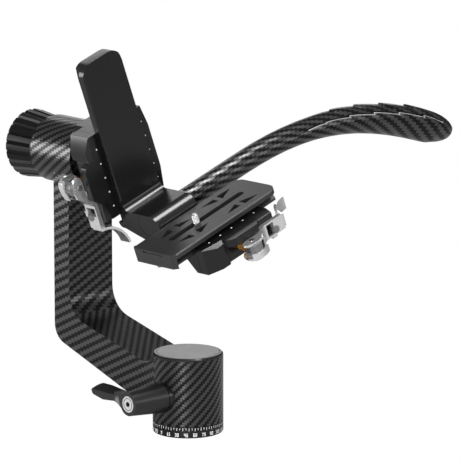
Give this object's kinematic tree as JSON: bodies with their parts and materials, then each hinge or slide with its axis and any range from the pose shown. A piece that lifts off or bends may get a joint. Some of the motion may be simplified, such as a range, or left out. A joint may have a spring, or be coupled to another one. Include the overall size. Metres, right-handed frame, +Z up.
{
  "type": "gimbal tripod head",
  "caption": "Gimbal head for long lenses: pan base, L-shaped arm, tilt barrel with lock knob, cradle with quick-release clamps, camera plate and long curved handle.",
  "frame": {"origin": "centre of the base's underside, on the pan axis", "axes": "+Z up along the pan axis; +X along the tilt axis, from the lock knob to the cradle; +Y the way the lens looks"},
  "size_m": [0.2678, 0.4265, 0.3209],
  "materials": {
    "black_anodised": "black anodised, fine satin",
    "steel": "bright turned steel",
    "bearing_steel": "ground steel",
    "carbon_weave": "carbon-fibre twill weave under clear gloss lacquer",
    "satin_grey": "dark grey anodised, satin",
    "black_plastic": "black glass-filled polymer",
    "polished_metal": "polished silver",
    "brass": "plain brass",
    "friction_polymer": "unfilled friction polymer"
  },
  "bodies": {
    "base": {"base_ring": "black_anodised", "tripod_bush": "steel", "pan_spindle": "steel", "base_screws": "steel", "spindle_nut": "steel", "pan_bearing_inner_rings": "bearing_steel"},
    "arm": {"gimbal_arm": "carbon_weave", "pan_cap_rim": "black_anodised", "pan_cap_disc": "satin_grey", "pan_bearing_outer_rings": "bearing_steel", "pan_bearing_balls": "bearing_steel", "tilt_bearing_outer_rings": "bearing_steel", "tilt_bearing_balls": "bearing_steel", "pan_lock_collar": "black_anodised", "pan_lock_spring": "bearing_steel"},
    "pan_lock": {"pan_lock_lever": "black_plastic", "pan_lock_screw": "polished_metal", "pan_lock_spindle": "steel"},
    "pan_brake": {"pan_brake_pad": "brass"},
    "cradle": {"tilt_shaft": "steel", "tilt_flange": "black_anodised", "flange_screw": "steel", "tilt_bearing_inner_rings": "bearing_steel", "tilt_friction_washer": "friction_polymer", "tilt_clamp_body": "black_anodised", "tilt_clamp_pins": "steel", "tilt_clamp_spring": "bearing_steel", "tilt_clamp_stud": "steel", "tilt_clamp_cam_pin": "steel", "tilt_clamp_screws": "steel"},
    "knob": {"tilt_knob": "black_anodised", "tilt_knob_bush": "brass", "tilt_knob_cap": "satin_grey"},
    "tilt_jaw": {"tilt_clamp_jaw": "black_anodised", "tilt_clamp_washer": "brass"},
    "tilt_lever": {"tilt_clamp_lever": "polished_metal", "tilt_clamp_cam": "satin_grey"},
    "tilt_button": {"tilt_clamp_button": "satin_grey"},
    "bracket": {"height_bracket": "black_anodised", "bracket_stop_screws": "steel", "socket_cap": "black_anodised", "handle_bolt": "steel", "handle_spigot": "steel", "carbon_handle": "carbon_weave", "plate_clamp_body": "black_anodised", "plate_clamp_pins": "steel", "plate_clamp_spring": "bearing_steel", "plate_clamp_stud": "steel", "plate_clamp_cam_pin": "steel", "plate_clamp_screws": "steel"},
    "plate_jaw": {"plate_clamp_jaw": "black_anodised", "plate_clamp_washer": "brass"},
    "plate_lever": {"plate_clamp_lever": "polished_metal", "plate_clamp_cam": "satin_grey"},
    "plate_button": {"plate_clamp_button": "satin_grey"},
    "plate": {"camera_plate": "black_anodised", "plate_stop_screws": "steel"},
    "screw_slider": {"camera_screw_washer": "steel"},
    "camera_screw": {"camera_screw": "steel"}
  },
  "joints": [
    {"name": "pan", "type": "hinge", "parent": "base", "child": "arm", "pos_m": [0, 0, 0], "axis": [0, 0, 1], "continuous": true},
    {"name": "pan_lock_turn", "type": "hinge", "parent": "arm", "child": "pan_lock", "pos_m": [0, 0, 0.0335], "axis": [0, 1, 0], "range_deg": [0, 90]},
    {"name": "pan_brake_slide", "type": "slide", "parent": "arm", "child": "pan_brake", "axis": [0, -1, 0], "range_m": [0, 0.0004]},
    {"name": "tilt", "type": "hinge", "parent": "arm", "child": "cradle", "pos_m": [0, 0, 0.221], "axis": [1, 0, 0], "range_deg": [-60, 100]},
    {"name": "tilt_knob_turn", "type": "hinge", "parent": "cradle", "child": "knob", "pos_m": [-0.19, 0, 0.221], "axis": [-1, 0, 0], "range_deg": [0, 180]},
    {"name": "tilt_lever_turn", "type": "hinge", "parent": "cradle", "child": "tilt_lever", "pos_m": [-0.0925, -0.04602, 0.20273], "axis": [-1, 0, 0], "range_deg": [0, 90]},
    {"name": "tilt_jaw_slide", "type": "slide", "parent": "cradle", "child": "tilt_jaw", "axis": [0, -0.9367, -0.3502], "range_m": [0, 0.002]},
    {"name": "tilt_button_press", "type": "slide", "parent": "tilt_lever", "child": "tilt_button", "axis": [0, 0.9367, 0.3502], "range_m": [0, 0.0012], "stiffness_N_per_m": 600, "springref_m": -0.001},
    {"name": "bracket_slide", "type": "slide", "parent": "cradle", "child": "bracket", "axis": [0, -0.3502, 0.9367], "range_m": [-0.03, 0.008]},
    {"name": "plate_lever_turn", "type": "hinge", "parent": "bracket", "child": "plate_lever", "pos_m": [0.0495, 0.0301, 0.1619], "axis": [0, 0.3502, -0.9367], "range_deg": [0, 90]},
    {"name": "plate_jaw_slide", "type": "slide", "parent": "bracket", "child": "plate_jaw", "axis": [1, 0, 0], "range_m": [0, 0.002]},
    {"name": "plate_button_press", "type": "slide", "parent": "plate_lever", "child": "plate_button", "axis": [-1, 0, 0], "range_m": [0, 0.0012], "stiffness_N_per_m": 600, "springref_m": -0.001},
    {"name": "plate_slide", "type": "slide", "parent": "bracket", "child": "plate", "axis": [0, 0.9367, 0.3502], "range_m": [-0.0125, 0.0185]},
    {"name": "screw_slide", "type": "slide", "parent": "plate", "child": "screw_slider", "axis": [0, 0.9367, 0.3502], "range_m": [-0.028, 0.052]},
    {"name": "camera_screw_turn", "type": "hinge", "parent": "screw_slider", "child": "camera_screw", "pos_m": [0, 0.01285, 0.17093], "axis": [0, -0.3502, 0.9367], "continuous": true}
  ],
  "couplings": [
    {"joint": "pan_brake_slide", "follows": "pan_lock_turn", "m_per_rad": 0.00025465},
    {"joint": "tilt_jaw_slide", "follows": "tilt_lever_turn", "m_per_rad": 0.0012732},
    {"joint": "plate_jaw_slide", "follows": "plate_lever_turn", "m_per_rad": 0.0012732}
  ]
}
